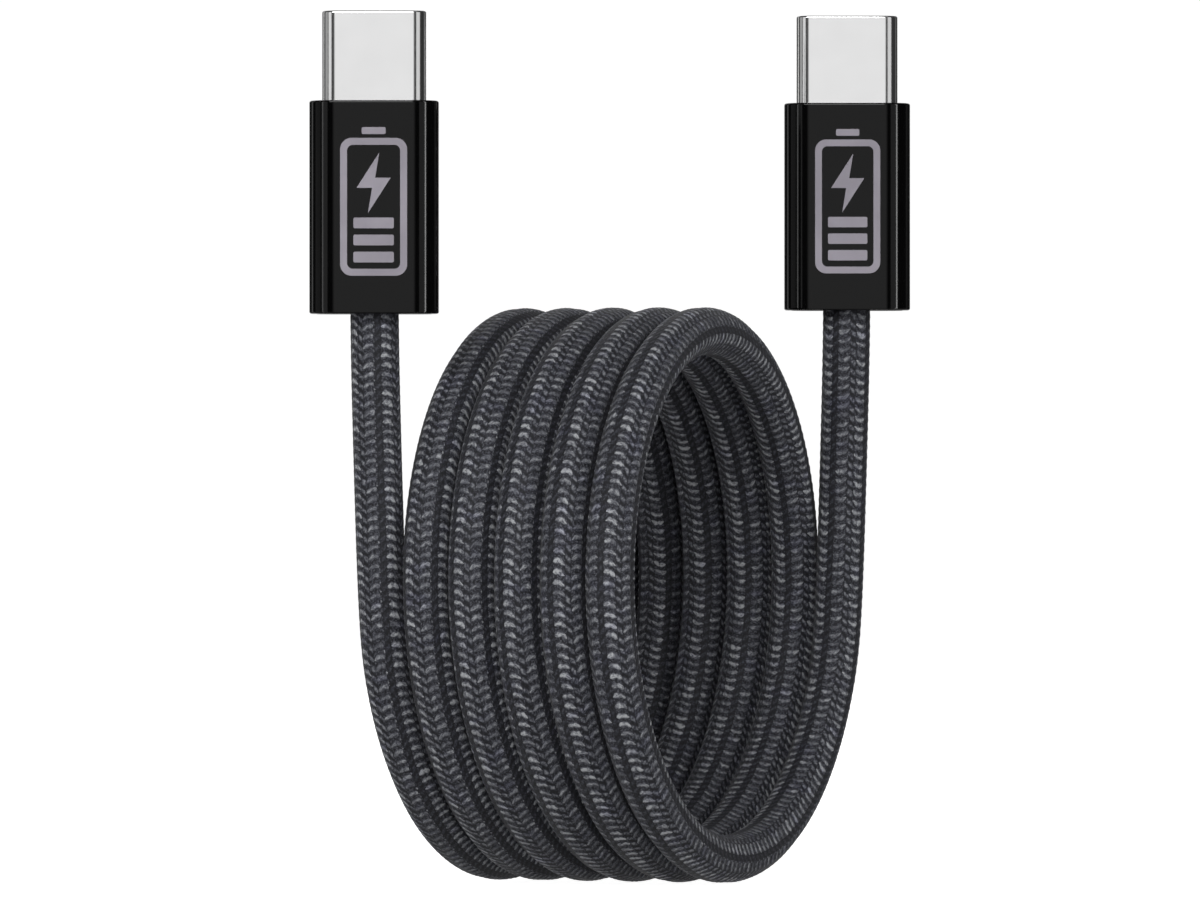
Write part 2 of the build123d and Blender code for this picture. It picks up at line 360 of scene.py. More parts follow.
@dataclass(frozen=True)
class Braid:
    """Mélange yarn on a weave, with painted shade in the gaps between stitches, painted highlights on their
    backs and a painted sheen on every second column. The piece's UV map counts rows along the cord and pairs
    around it.

    A light is how a pattern lights the yarn, and a rate is how often streaks come in a row and in
    a pair.
    """

    weave: Weave
    name: str = "braided_yarn"
    # The tones run from near black, which is painted shade in the gaps between stitches, to pale, which is
    # painted highlight on the stitches' backs. The yarn's own mottling lies between them.
    dark: Colour = (0.0042, 0.0044, 0.0064)
    deep: Colour = (0.0280, 0.0290, 0.0385)
    middle: Colour = (0.106, 0.110, 0.125)
    light: Colour = (0.345, 0.355, 0.370)
    tone_stops: tuple[float, ...] = (0.03, 0.20, 0.46, 0.90)
    tint: Colour = (0.955, 0.95, 1.055)
    tint_scale: float = 0.55
    tint_ends: Pair = (0.52, 0.74)
    waver_scale: float = 1.1
    row_waver: float = 0.55
    pair_waver: float = 0.14
    filament_rate: Pair = (9.0, 7.0)
    clump_rate: Pair = (3.4, 5.5)
    loose_rate: Pair = (4.2, 8.5)
    streak_roughness: float = 0.55
    streak_ends: Pair = (0.30, 0.70)
    # Painted sheen: every second wide column, whose stitches lean the other way, is drawn lighter, as if its
    # fibres caught more light.
    painted_column_sheen: Pair = (0.26, 0.87)
    filament_light: Pair = (0.40, 0.30)
    clump_light: float = 0.42
    # Painted shade: the dim tone in the gaps between stitches.
    under_light: Pair = (0.34, 0.14)
    chain_slope: float = 0.24
    chain_light: Pair = (0.46, 0.18)
    channel_slope: float = -0.30
    channel_light: Pair = (0.24, 0.05)
    # Painted shade: a share of the gaps' dim tone, between the narrow columns' ticks.
    narrow_under: float = 0.3
    narrow_edge: Pair = (1.12, 0.88)
    lens_power: float = 0.4
    lens_half: float = 0.47
    lobe_reach: Pair = (0.34, 0.66)
    least_reach: float = 0.03
    stitch_ends: Pair = (-0.10, 0.85)
    tick_ends: Pair = (0.46, 0.08)
    tick_sides: Pair = (1.25, 0.45)
    families: float = 4.0
    own_share: float = 0.55
    shade_power: float = 1.3
    shade_light: Pair = (0.72, 0.50)
    filament_height: float = 0.30
    narrow_height: float = 0.9
    relief: float = 0.10 * MM
    relief_strength: float = 0.7
    roughness: float = 0.66
    specular: float = 0.30
    sheen: float = 0.06
    sheen_roughness: float = 0.5
    repeat_seed: float = 3.0
    own_seed: float = 7.0
    tint_seed: float = 11.0

    def make(self) -> Material:
        """Build the material.

        Returns:
            The new material.
        """
        graph = SurfaceGraph(self.name)
        rows, pairs = self.coordinates(graph)
        pair = graph.math("FLOOR", pairs)
        odd = graph.math("FLOORED_MODULO", pair, 2.0)
        share = graph.math("SUBTRACT", pairs, pair)
        wide_share = self.weave.wide_share
        across = graph.math("SUBTRACT", graph.times(share, 2.0 / wide_share), 1.0)
        narrow = graph.math("SUBTRACT", share, (1.0 + wide_share) / 2)
        beside = graph.times(narrow, 2.0 / (1.0 - wide_share))
        crown = graph.math("MAXIMUM", graph.math("SUBTRACT", 1.0, graph.times(across, across)), 0.0)
        phase = self.phase(graph, rows, pair, odd, across, crown)
        row = graph.math("FLOOR", phase)
        along = graph.math("SUBTRACT", graph.math("SUBTRACT", phase, row), 0.5)
        lobe = graph.math("FLOOR", graph.math("ADD", across, 1.0))
        lobes = graph.size(graph.math("SINE", graph.times(across, math.pi)))
        stitch = self.stitch(graph, crown, lobes, along)
        # The yarn's own tone, times a painted sheen that lightens every second column.
        shade = graph.times(self.yarn_shade(graph, pair, row, lobe), graph.lift(odd, self.painted_column_sheen))
        filaments = self.streaks(graph, phase, pairs, self.filament_rate)
        clumps = self.streaks(graph, phase, pairs, self.clump_rate)
        loose = self.streaks(graph, rows, pairs, self.loose_rate)
        lit = graph.math("MULTIPLY_ADD", clumps, self.clump_light, graph.lift(filaments, self.filament_light))
        # Painted shade: the dim, mottled tone in the gaps between stitches.
        under = graph.times(loose, graph.lift(filaments, self.under_light))
        # Painted highlight and painted shade: the tone is lightest on each stitch's back and falls to the
        # gaps' dim tone between stitches.
        wide = graph.math("MAXIMUM", graph.times(stitch, graph.times(shade, lit)), under)
        chain = self.ticks(graph, rows, beside, self.chain_slope, graph.lift(clumps, self.chain_light))
        channel = self.ticks(graph, rows, beside, self.channel_slope, graph.lift(loose, self.channel_light))
        threads = graph.blend(odd, chain, channel)
        line = graph.math("MAXIMUM", threads, graph.times(under, self.narrow_under))
        mask = graph.smooth(graph.size(beside), *self.narrow_edge)
        tones = (self.dark, self.deep, self.middle, self.light)
        colour = graph.ramp(graph.blend(mask, wide, line), zip(self.tone_stops, tones))
        raised = graph.math("ADD", stitch, graph.times(filaments, self.filament_height))
        height = graph.blend(mask, raised, graph.times(line, self.narrow_height))
        graph.bump(height, self.relief, self.relief_strength)
        graph.fill(Base_Color=self.tinted(graph, colour, rows, pairs), Roughness=self.roughness)
        graph.fill(Specular_IOR_Level=self.specular)
        graph.fill(Sheen_Weight=self.sheen, Sheen_Roughness=self.sheen_roughness)
        return graph.material

    def coordinates(self, graph: SurfaceGraph) -> tuple[Socket, Socket]:
        """Read where a point is on the braid, with a slight waver.

        Args:
            graph: the material's nodes.

        Returns:
            Rows along the cord, and pairs around it.
        """
        chart = graph.node("UVMap")
        chart.uv_map = "braid"
        waver = graph.noise(self.waver_scale, 2.0, chart.outputs[0])
        split = graph.node("SeparateXYZ", Vector=chart.outputs[0])
        shift = graph.math("SUBTRACT", waver, 0.5)
        rows = graph.math("ADD", split.outputs[0], graph.times(shift, self.row_waver))
        pairs = graph.math("ADD", split.outputs[1], graph.times(shift, self.pair_waver))
        return rows, pairs

    def phase(
        self, graph: SurfaceGraph, rows: Socket, pair: Socket, odd: Socket, across: Socket, crown: Socket
    ) -> Socket:
        """Follow a wide column's stitches, as the weave's stitch_phase does.

        Args:
            graph: the material's nodes.
            rows: rows along the cord.
            pair: the pair's number.
            odd: 1 in every second pair, else 0.
            across: the place across the column, -1 to 1.
            crown: the column's height there, 0 to 1.

        Returns:
            The phase along the stitches.
        """
        weave = self.weave
        lean = graph.math("SUBTRACT", graph.times(odd, 2 * weave.slant), weave.slant)
        staggered = graph.math("ADD", rows, graph.times(pair, weave.stagger))
        leaning = graph.math("ADD", staggered, graph.times(lean, across))
        return graph.math("ADD", leaning, graph.times(crown, weave.arch))

    def stitch(self, graph: SurfaceGraph, crown: Socket, lobes: Socket, along: Socket) -> Socket:
        """Shape a two-lobed stitch.

        Args:
            graph: the material's nodes.
            crown: the column's height, 0 to 1.
            lobes: 1 in the middle of each lobe, 0 between them.
            along: the place along the stitch, -0.5 to 0.5.

        Returns:
            0 in the gap and 1 on the stitch's back.
        """
        lens = graph.times(graph.math("POWER", crown, self.lens_power), self.lens_half)
        reach = graph.times(lens, graph.lift(lobes, self.lobe_reach))
        inside = graph.math("DIVIDE", graph.size(along), graph.math("MAXIMUM", reach, self.least_reach))
        return graph.smooth(graph.math("SUBTRACT", 1.0, inside), *self.stitch_ends)

    def ticks(
        self, graph: SurfaceGraph, rows: Socket, beside: Socket, slope: float, strength: Socket
    ) -> Socket:
        """Draw a narrow column's threads: one slanting tick in each row.

        Args:
            graph: the material's nodes.
            rows: rows along the cord.
            beside: the place across the narrow column, -1 to 1.
            slope: how many rows a tick slants by.
            strength: how light the ticks are.

        Returns:
            The threads' tone.
        """
        leaning = graph.math("MULTIPLY_ADD", beside, slope, rows)
        place = graph.math("SUBTRACT", graph.math("FLOORED_MODULO", leaning, 1.0), 0.5)
        tick = graph.smooth(graph.size(place), *self.tick_ends)
        side = graph.smooth(graph.size(beside), *self.tick_sides)
        return graph.times(graph.times(tick, side), strength)

    def yarn_shade(self, graph: SurfaceGraph, pair: Socket, row: Socket, lobe: Socket) -> Socket:
        """Say how light each lobe's yarn is: a repeat along the cord, and a part of its own.

        Args:
            graph: the material's nodes.
            pair: the pair's number.
            row: the stitch's number.
            lobe: which half of the stitch.

        Returns:
            The yarn's shade.
        """
        step = graph.math("FLOORED_MODULO", row, float(self.weave.colour_repeat))
        family = graph.math("FLOORED_MODULO", pair, self.families)
        key = graph.node("CombineXYZ", X=step, Y=family, Z=self.repeat_seed)
        repeated = graph.node("TexWhiteNoise", Vector=key.outputs[0])
        own_key = graph.node("CombineXYZ", X=row, Y=pair, Z=graph.math("ADD", lobe, self.own_seed))
        own = graph.node("TexWhiteNoise", Vector=own_key.outputs[0])
        mixed = graph.blend(self.own_share, repeated.outputs[0], own.outputs[0])
        return graph.lift(graph.math("POWER", mixed, self.shade_power), self.shade_light)

    def streaks(self, graph: SurfaceGraph, rows: Socket, pairs: Socket, rate: Pair) -> Socket:
        """Make uneven patches.

        Args:
            graph: the material's nodes.
            rows: rows along the cord.
            pairs: pairs around it.
            rate: how many patches come in a row and in a pair.

        Returns:
            The patches, 0 to 1.
        """
        key = graph.node("CombineXYZ", X=graph.times(rows, rate[0]), Y=graph.times(pairs, rate[1]))
        noise = graph.node(
            "TexNoise", Vector=key.outputs[0], Scale=1.0, Detail=2.0, Roughness=self.streak_roughness
        )
        return graph.smooth(noise.outputs[0], *self.streak_ends)

    def tinted(self, graph: SurfaceGraph, colour: Socket, rows: Socket, pairs: Socket) -> Socket:
        """Give the yarn's colour faint violet patches.

        Args:
            graph: the material's nodes.
            colour: the yarn's colour.
            rows: rows along the cord.
            pairs: pairs around it.

        Returns:
            The tinted colour.
        """
        key = graph.node("CombineXYZ", X=rows, Y=pairs, Z=self.tint_seed)
        noise = graph.noise(self.tint_scale, 1.0, key.outputs[0])
        shift = graph.node("Mix")
        shift.data_type = "RGBA"
        shift.blend_type = "MULTIPLY"
        graph.feed(shift.inputs[0], graph.smooth(noise, *self.tint_ends))
        graph.feed(shift.inputs[6], colour)
        graph.feed(shift.inputs[7], (*self.tint, 1.0))
        return shift.outputs[2]


@dataclass(frozen=True)
class Lamp:
    """A rectangular lamp that faces the cable. Turn is degrees to the right of the camera's side.

    It doesn't light the pieces whose names hold the word in skips.
    """

    name: str
    turn: float
    rise: float
    width: float
    height: float
    brightness: float
    distance: float = 0.85
    skips: str = ""

    def hang(self, aim: Vector) -> None:
        """Put the lamp in the scene.

        Args:
            aim: the point that it faces.
        """
        lamp = bpy.data.lights.new(self.name, "AREA")
        lamp.shape = "RECTANGLE"
        lamp.size, lamp.size_y = self.width, self.height
        lamp.energy = self.brightness * math.pi * self.width * self.height
        around, up = math.radians(self.turn), math.radians(self.rise)
        level = self.distance * math.cos(up)
        place = Vector(
            (level * math.sin(around), -level * math.cos(around), self.distance * math.sin(up))
        )
        holder = bpy.data.objects.new(self.name, lamp)
        holder.location = aim + place
        holder.rotation_euler = place.to_track_quat("Z", "Y").to_euler()
        holder.visible_camera = False
        bpy.context.scene.collection.objects.link(holder)
        if self.skips:
            self.keep_off(holder)

    def keep_off(self, holder: Piece) -> None:
        """Leave the pieces that the lamp skips out of its light and its reflections.

        Args:
            holder: the lamp's object.
        """
        skipped = bpy.data.collections.new(f"{self.name}_skips")
        for piece in bpy.data.objects:
            if self.skips in piece.name:
                skipped.objects.link(piece)
        for row in skipped.collection_objects:
            row.light_linking.link_state = "EXCLUDE"
        holder.light_linking.receiver_collection = skipped


@dataclass
class Studio:
    """Camera, lamps, floor and surroundings."""

    aim: tuple[float, float, float] = (0.0179, 0.0, -0.02768)
    distance: float = 1.0
    view_width: float = 0.09516
    sensor: float = 36.0
    near_clip: float = 0.05
    far_clip: float = 60.0
    white: float = 1.02
    floor_half: float = 6.0
    floor_gap: float = 0.15 * MM
    floor_grey: float = 0.7
    floor_roughness: float = 0.9
    floor_seen: float = 0.97
    floor_cast: float = 0.175
    panel_full: float = math.radians(8)
    panel_end: float = math.radians(21)
    panel_full_height: float = 0.35
    panel_end_height: float = 0.75
    panel_strength: float = 1.04
    dim: float = 0.04
    ground_start: float = -0.16
    ground_full: float = -0.55
    ground_strength: float = 0.34
    lamps: tuple[Lamp, ...] = (
        Lamp("key_box", -14.0, 32.0, 0.55, 0.34, 8.5),
        Lamp("top_box", 20.0, 78.0, 0.60, 0.45, 0.4),
        Lamp("right_box", 50.0, 0.0, 0.50, 1.1, 0.62),
        Lamp("right_strip", 62.0, 0.0, 0.07, 1.2, 11.0, 0.78, "shell"),
        Lamp("right_back_strip", 121.0, 0.0, 0.20, 1.1, 0.10),
        Lamp("left_box", -53.0, 0.0, 0.38, 1.1, 0.70),
        Lamp("left_strip", -62.0, 0.0, 0.07, 1.2, 2.4, 0.78, "shell"),
        Lamp("left_side_box", -86.0, 0.0, 0.42, 1.1, 0.30),
        Lamp("left_back_strip", -123.0, 0.0, 0.16, 1.1, 0.75),
        Lamp("back_box", 180.0, 6.0, 0.55, 1.2, 0.85),
        Lamp("back_top_box", 200.0, 26.0, 0.60, 0.40, 0.25),
    )

    def place_camera(self) -> None:
        """A long lens, level with the plugs' housings, looking along +Y."""
        lens = bpy.data.cameras.new("camera")
        lens.sensor_width = self.sensor
        lens.lens = self.sensor * self.distance / self.view_width
        lens.clip_start = self.near_clip
        lens.clip_end = self.far_clip
        camera = bpy.data.objects.new("camera", lens)
        camera.location = (self.aim[0], self.aim[1] - self.distance, self.aim[2])
        camera.rotation_euler = (math.radians(90), 0.0, 0.0)
        bpy.context.scene.collection.objects.link(camera)
        bpy.context.scene.camera = camera

    def light(self) -> None:
        """A key from above, soft boxes at the sides, and narrow strips for the gloss."""
        for lamp in self.lamps:
            lamp.hang(Vector(self.aim))

    def surround(self) -> None:
        """White to the camera. Gloss sees a soft upright panel in front and a pale ground below."""
        world = bpy.data.worlds.new("studio")
        bpy.context.scene.world = world
        world.use_nodes = True
        graph = NodeGraph(world.node_tree)
        place = graph.node("TexCoord")
        right, away, up = graph.node("SeparateXYZ", Vector=place.outputs["Generated"]).outputs
        bearing = graph.math("ARCTAN2", right, graph.times(away, -1.0))
        wide = graph.smooth(graph.size(bearing), self.panel_end, self.panel_full)
        tall = graph.smooth(graph.size(up), self.panel_end_height, self.panel_full_height)
        panel = graph.lift(graph.times(wide, tall), (self.panel_strength - self.dim, self.dim))
        below = graph.smooth(up, self.ground_start, self.ground_full)
        total = graph.math("ADD", panel, graph.times(below, self.ground_strength))
        cast = graph.node("Background", Strength=total)
        seen = graph.node("Background", Color=(1.0, 1.0, 1.0, 1.0), Strength=self.white)
        path = graph.node("LightPath")
        mix = graph.node("MixShader")
        graph.link(path.outputs["Is Camera Ray"], mix.inputs[0])
        graph.link(cast.outputs[0], mix.inputs[1])
        graph.link(seen.outputs[0], mix.inputs[2])
        graph.node("OutputWorld", Surface=mix.outputs[0])
        bpy.context.scene.view_settings.view_transform = "Standard"

    def lay_floor(self) -> None:
        """A plain pale floor just under the coil."""
        height = CAD_BOX[0][2] - self.floor_gap
        bpy.ops.mesh.primitive_plane_add(size=2 * self.floor_half, location=(0.0, 0.0, height))
        floor = bpy.context.object
        floor.name = "studio_floor"
        graph = SurfaceGraph("studio_floor")
        path = graph.node("LightPath")
        glow = graph.blend(path.outputs["Is Camera Ray"], self.floor_cast, self.floor_seen)
        graph.fill(Base_Color=(*[self.floor_grey] * 3, 1.0), Specular_IOR_Level=0.0)
        graph.fill(Roughness=self.floor_roughness)
        graph.fill(Emission_Color=(1.0, 1.0, 1.0, 1.0), Emission_Strength=glow)
        floor.data.materials.append(graph.material)
        floor.visible_glossy = False


@dataclass
class Cord:
    """The braided cord: one line from inside plug A, round the coil, to inside plug B."""

    diameter: float = 3.9 * MM
    coil_radius: float = 21.15 * MM
    coil_turns: float = 5.5
    coil_pitch: float = 3.95 * MM
    coil_heading: float = math.radians(23.6)
    points_per_turn: int = 24
    lead_a: list[tuple[float, float, float]] = field(
        default_factory=lambda: [
            (0.0, 0.0, -0.0116),
            (0.0, 0.0, -0.0180),
            (0.00028, -0.00012, -0.0290),
            (0.00061, -0.00027, -0.0393),
        ]
    )
    lead_b_offsets: list[tuple[float, float, float]] = field(
        default_factory=lambda: [
            (0.0, 0.0, 0.0),
            (0.00033, -0.00015, 0.0106),
            (0.00061, -0.00027, 0.0219),
            (0.00061, -0.00027, 0.0283),
        ]
    )
    housing_rear: float = -16.9 * MM
    weave: Weave = Weave()
    around_pair: int = 4
    first_share: float = 0.08
    rings_per_row: int = 3
    groove: float = 0.085 * MM
    edge_dip: float = 0.02 * MM
    stitch_relief: float = 0.05 * MM
    curve_steps: int = 24

    def route(self) -> list[Vector]:
        """Lay out the cord.

        Returns:
            The spline's control points, from plug A's end to plug B's.
        """
        axis = Vector((math.cos(self.coil_heading), -math.sin(self.coil_heading), 0.0))
        far = Vector((math.sin(self.coil_heading), math.cos(self.coil_heading), 0.0))
        start = Vector(self.lead_a[-1])
        centre = start + far * self.coil_radius
        outer = self.coil_radius / math.cos(math.pi / self.points_per_turn)
        coil = []
        for step in range(1, round(self.coil_turns * self.points_per_turn)):
            turn = step / self.points_per_turn
            angle = math.tau * turn
            coil.append(
                centre
                + axis * (self.coil_pitch * turn)
                - far * (outer * math.cos(angle))
                - Vector((0.0, 0.0, outer * math.sin(angle)))
            )
        end = start + axis * (self.coil_pitch * self.coil_turns) + far * (2 * self.coil_radius)
        lead_b = [end + Vector(offset) for offset in self.lead_b_offsets]
        return [Vector(point) for point in self.lead_a] + coil + lead_b

    def line(self) -> list[Vector]:
        """Read the route's smooth spline.

        Returns:
            Close points on it.
        """
        points = self.route()
        curve = bpy.data.curves.new("cord_route", "CURVE")
        curve.dimensions = "3D"
        spline = curve.splines.new("NURBS")
        spline.points.add(len(points) - 1)
        for target, point in zip(spline.points, points):
            target.co = (*point, 1.0)
        spline.order_u = 3
        spline.use_endpoint_u = True
        spline.resolution_u = self.curve_steps
        holder = bpy.data.objects.new("cord_route", curve)
        bpy.context.scene.collection.objects.link(holder)
        bpy.context.view_layer.update()
        mesh = bpy.data.meshes.new_from_object(holder)
        line = [vertex.co.copy() for vertex in mesh.vertices]
        bpy.data.objects.remove(holder)
        bpy.data.meshes.remove(mesh)
        return line

    def rings_along(self, line: list[Vector]) -> list[Vector]:
        """Evenly spaced ring centres on the line.

        Args:
            line: close points on the cord's centreline.

        Returns:
            The ring centres.
        """
        lengths = [0.0]
        for before, after in zip(line, line[1:]):
            lengths.append(lengths[-1] + (after - before).length)
        total = lengths[-1]
        rings = self.rings_per_row * round(total / self.weave.row)
        centres = []
        index = 0
        for ring in range(rings + 1):
            target = total * ring / rings
            while index < len(line) - 2 and lengths[index + 1] < target:
                index += 1
            share = (target - lengths[index]) / (lengths[index + 1] - lengths[index])
            centres.append(line[index].lerp(line[index + 1], share))
        return centres

    def pair_at(self, step: int) -> float:
        """The place around the cord, in pairs, of a vertex on a ring."""
        return step / self.around_pair + self.first_share

    def radius_at(self, ring: int, step: int) -> float:
        """The surface's distance from the centreline at one vertex.

        Args:
            ring: the ring's number.
            step: the vertex's number around the ring.

        Returns:
            The distance, in metres.
        """
        phase, across = self.weave.stitch_phase(ring / self.rings_per_row, self.pair_at(step))
        if across > 1.0:
            return self.diameter / 2 - self.groove
        crown = 1.0 - across * across
        wave = 0.5 + 0.5 * math.cos(math.tau * phase)
        return self.diameter / 2 - self.edge_dip * (1.0 - crown) - self.stitch_relief * crown * wave

    def tube(self, line: list[Vector]) -> Piece:
        """Make the braided surface as one closed mesh, with its rows and pairs as a UV map.

        Args:
            line: close points on the cord's centreline.

        Returns:
            The cord's piece.
        """
        centres = self.rings_along(line)
        last = len(centres) - 1
        steps = self.weave.pairs * self.around_pair
        normal = Vector((0.0, -1.0, 0.0))
        vertices: list[Vector] = []
        for ring, centre in enumerate(centres):
            tangent = (centres[min(ring + 1, last)] - centres[max(ring - 1, 0)]).normalized()
            normal = (normal - tangent * normal.dot(tangent)).normalized()
            side = tangent.cross(normal)
            for step in range(steps):
                angle = math.tau * self.pair_at(step) / self.weave.pairs
                outward = normal * math.cos(angle) + side * math.sin(angle)
                vertices.append(centre + outward * self.radius_at(ring, step))
        faces = []
        for low in range(0, last * steps, steps):
            high = low + steps
            for step in range(steps):
                after = (step + 1) % steps
                faces.append((low + step, low + after, high + after, high + step))
        faces.append(tuple(reversed(range(steps))))
        faces.append(tuple(range(last * steps, (last + 1) * steps)))
        mesh = bpy.data.meshes.new("braided_cord")
        mesh.from_pydata(vertices, [], faces)
        chart = mesh.uv_layers.new(name="braid")
        for face in mesh.polygons[: last * steps]:
            ring, step = divmod(face.index, steps)
            for loop, (along, around) in zip(face.loop_indices, ((0, 0), (0, 1), (1, 1), (1, 0))):
                chart.data[loop].uv = ((ring + along) / self.rings_per_row, self.pair_at(step + around))
        mesh.shade_smooth()
        piece = bpy.data.objects.new("braided_cord", mesh)
        bpy.context.scene.collection.objects.link(piece)
        return piece

    def build(self, braid: Material) -> None:
        """Args:
            braid: the yarn's material.
        """
        line = self.line()
        piece = self.tube(line)
        piece.data.materials.append(braid)
        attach(piece, BODY)
        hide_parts("coil", "lead_a", "lead_b")


def clear_selection() -> None:
    """Leave edit mode and deselect everything."""
    if bpy.context.mode != "OBJECT":
        bpy.ops.object.mode_set(mode="OBJECT")
    bpy.ops.object.select_all(action="DESELECT")


def add_block(name: str, low: Vector, high: Vector) -> Piece:
    """Make a box between two corners, with its place in its mesh.

    Args:
        name: the piece's name.
        low: its lowest corner.
        high: its highest corner.

    Returns:
        The box, selected and active.
    """
    clear_selection()
    bpy.ops.mesh.primitive_cube_add(size=1.0, location=(low + high) / 2)
    piece = bpy.context.object
    piece.name = piece.data.name = name
    piece.scale = high - low
    bpy.ops.object.transform_apply(location=True, rotation=True, scale=True)
    return piece


def select_edges(piece: Piece, wanted: Callable[[Vector, Vector], bool]) -> None:
    """Go into edit mode with only some sharp edges selected.

    Args:
        piece: the mesh piece, already active.
        wanted: says for an edge's two ends whether it is selected.
    """
    bpy.ops.object.mode_set(mode="EDIT")
    bpy.ops.mesh.select_mode(type="EDGE")
    bpy.ops.mesh.select_all(action="DESELECT")
    shape = bmesh.from_edit_mesh(piece.data)
    for edge in shape.edges:
        sharp = edge.calc_face_angle(0.0) > SHARP_ANGLE
        edge.select = sharp and wanted(edge.verts[0].co, edge.verts[1].co)
    bmesh.update_edit_mesh(piece.data)


def round_edges(
    piece: Piece, wanted: Callable[[Vector, Vector], bool], radius: float, segments: int
) -> None:
    """Round some edges of a piece.

    Args:
        piece: the mesh piece, already active.
        wanted: says for an edge's two ends whether it is rounded.
        radius: the round's radius.
        segments: how many faces the round has.
    """
    select_edges(piece, wanted)
    bpy.ops.mesh.bevel(offset=radius, offset_type="OFFSET", segments=segments, profile=0.5, affect="EDGES")
    bpy.ops.object.mode_set(mode="OBJECT")


def upright(first: Vector, second: Vector) -> bool:
    """Whether an edge runs along Z."""
    return max(abs(first.x - second.x), abs(first.y - second.y)) < SAME_PLACE


def level_at(height: float) -> Callable[[Vector, Vector], bool]:
    """A test for edges that lie at one height."""
    return lambda first, second: max(abs(first.z - height), abs(second.z - height)) < SAME_PLACE


def oval_block(name: str, low: Vector, high: Vector, radius: float, segments: int) -> Piece:
    """Make a box with its four upright edges rounded.

    Args:
        name: the piece's name.
        low: its lowest corner.
        high: its highest corner.
        radius: the rounds' radius.
        segments: how many faces each round has.

    Returns:
        The box, selected and active.
    """
    piece = add_block(name, low, high)
    round_edges(piece, upright, radius, segments)
    return piece


def cut_away(piece: Piece, cutter: Piece) -> None:
    """Cut one piece out of another.

    Args:
        piece: the piece that is cut.
        cutter: the piece that cuts it, which is then deleted.
    """
    clear_selection()
    piece.select_set(True)
    bpy.context.view_layer.objects.active = piece
    cut = piece.modifiers.new("cut", "BOOLEAN")
    cut.operation = "DIFFERENCE"
    cut.solver = "EXACT"
    cut.object = cutter
    bpy.ops.object.modifier_apply(modifier=cut.name)
    bpy.data.objects.remove(cutter)


